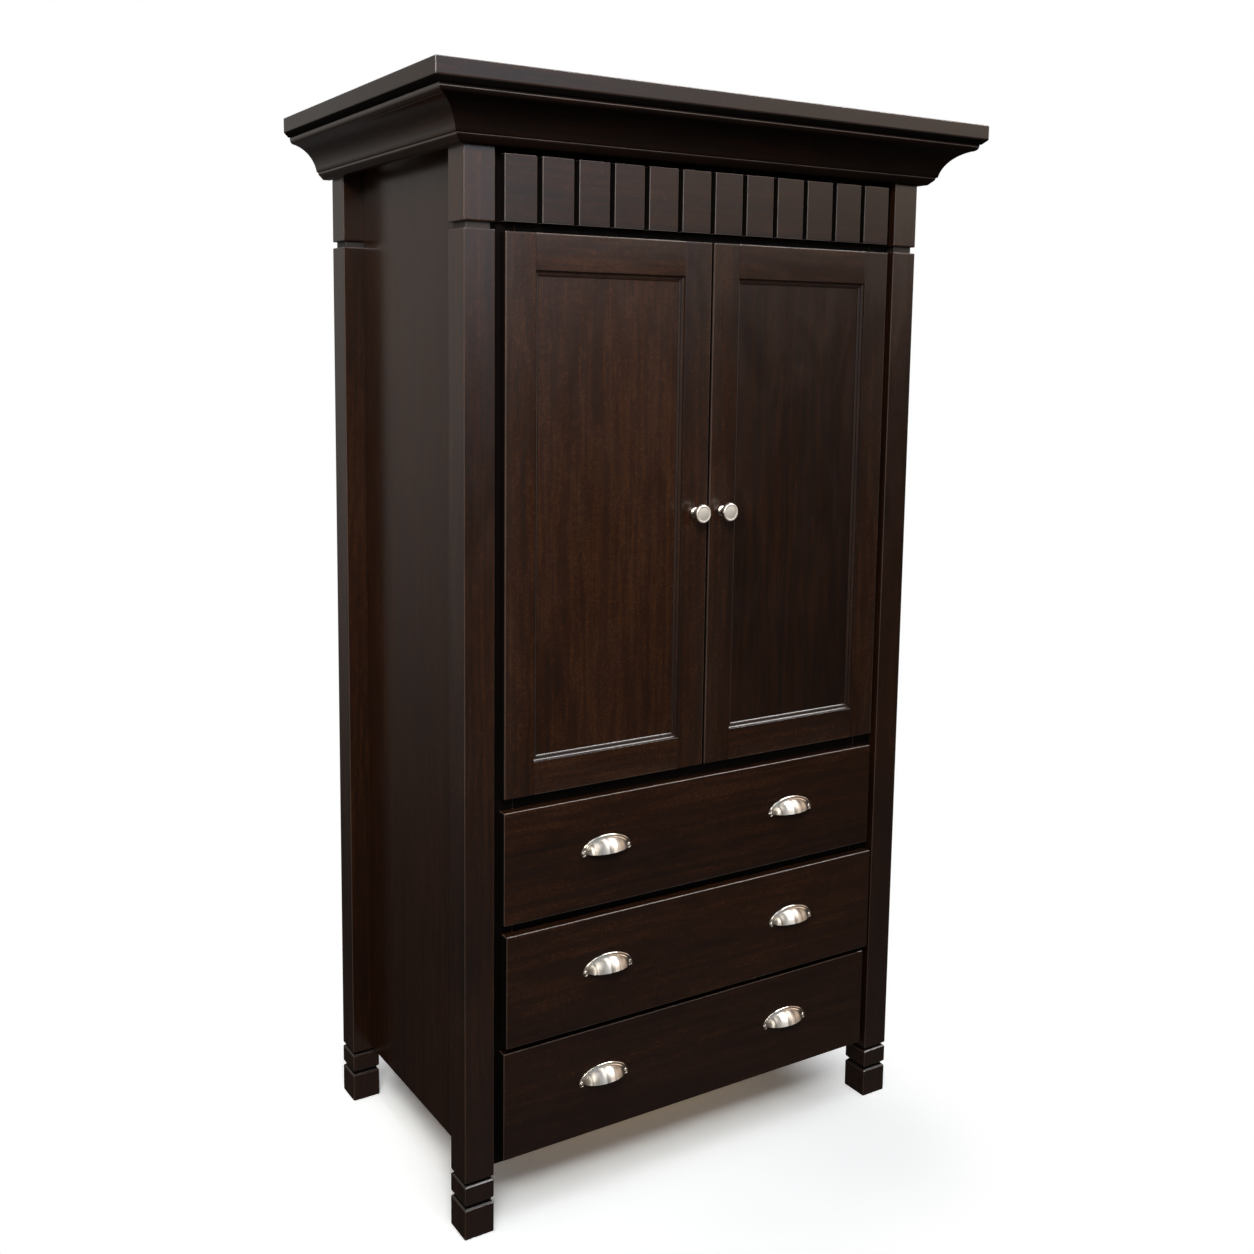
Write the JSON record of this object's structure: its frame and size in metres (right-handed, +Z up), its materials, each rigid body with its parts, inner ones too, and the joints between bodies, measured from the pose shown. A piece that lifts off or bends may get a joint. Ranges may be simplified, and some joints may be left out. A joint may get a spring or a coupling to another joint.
{
  "type": "armoire",
  "caption": "Tall two-door armoire with three drawers, grooved square posts, a block frieze and a mitred cove crown.",
  "frame": {"origin": "on the floor, under the middle of the overall bounding box", "axes": "+Z up, -Y out of the front where the doors and drawers open, +X to the right of someone facing the front"},
  "size_m": [1.17, 0.6744, 1.982],
  "materials": {
    "stained_maple": "dark brown stain under a satin lacquer",
    "inside_wood": "dark brown stain, duller than outside",
    "drawer_maple": "clear lacquer on pale maple",
    "satin_nickel": "satin nickel plate",
    "plated_steel": "bright zinc or nickel plate"
  },
  "bodies": {
    "case": {"back_panel": "inside_wood", "crown_front": "stained_maple", "crown_left": "stained_maple", "crown_right": "stained_maple", "frame_rail_bottom": "stained_maple", "frame_rail_drawer_lower": "stained_maple", "frame_rail_drawer_upper": "stained_maple", "frame_rail_middle": "stained_maple", "frame_rail_top": "stained_maple", "frame_stile_left": "stained_maple", "frame_stile_right": "stained_maple", "frieze_board": "stained_maple", "hanging_rod": "plated_steel", "hat_shelf": "inside_wood", "hinge_plate_lower_left": "plated_steel", "hinge_plate_lower_right": "plated_steel", "hinge_plate_upper_left": "plated_steel", "hinge_plate_upper_right": "plated_steel", "post_front_left": "stained_maple", "post_front_right": "stained_maple", "post_rear_left": "stained_maple", "post_rear_right": "stained_maple", "rod_socket_left": "plated_steel", "rod_socket_right": "plated_steel", "side_panel_left": "stained_maple", "side_panel_right": "stained_maple", "top_board": "stained_maple", "wardrobe_ceiling": "inside_wood", "wardrobe_floor": "inside_wood", "web_frame_bottom": "inside_wood", "web_frame_middle": "inside_wood", "web_frame_top": "inside_wood"},
    "left_door": {"door_left_bottom_rail": "stained_maple", "door_left_hinge_cup_lower": "plated_steel", "door_left_hinge_cup_upper": "plated_steel", "door_left_inner_stile": "stained_maple", "door_left_knob": "satin_nickel", "door_left_outer_stile": "stained_maple", "door_left_panel": "stained_maple", "door_left_top_rail": "stained_maple"},
    "right_door": {"door_right_bottom_rail": "stained_maple", "door_right_hinge_cup_lower": "plated_steel", "door_right_hinge_cup_upper": "plated_steel", "door_right_inner_stile": "stained_maple", "door_right_knob": "satin_nickel", "door_right_outer_stile": "stained_maple", "door_right_panel": "stained_maple", "door_right_top_rail": "stained_maple"},
    "drawer_top": {"drawer_top_box": "drawer_maple", "drawer_top_front": "stained_maple", "drawer_top_pull_left": "satin_nickel", "drawer_top_pull_right": "satin_nickel"},
    "drawer_middle": {"drawer_middle_box": "drawer_maple", "drawer_middle_front": "stained_maple", "drawer_middle_pull_left": "satin_nickel", "drawer_middle_pull_right": "satin_nickel"},
    "drawer_bottom": {"drawer_bottom_box": "drawer_maple", "drawer_bottom_front": "stained_maple", "drawer_bottom_pull_left": "satin_nickel", "drawer_bottom_pull_right": "satin_nickel"}
  },
  "joints": [
    {"name": "left_door_hinge", "type": "hinge", "parent": "case", "child": "left_door", "pos_m": [-0.4146, -0.24415, 1.2625], "axis": [0, 0, -1], "range_deg": [0, 110]},
    {"name": "right_door_hinge", "type": "hinge", "parent": "case", "child": "right_door", "pos_m": [0.4146, -0.24415, 1.2625], "axis": [0, 0, 1], "range_deg": [0, 110]},
    {"name": "top_drawer_slide", "type": "slide", "parent": "case", "child": "drawer_top", "axis": [0, -1, 0], "range_m": [0, 0.38]},
    {"name": "middle_drawer_slide", "type": "slide", "parent": "case", "child": "drawer_middle", "axis": [0, -1, 0], "range_m": [-0.01, 0.37]},
    {"name": "bottom_drawer_slide", "type": "slide", "parent": "case", "child": "drawer_bottom", "axis": [0, -1, 0], "range_m": [0, 0.38]}
  ]
}
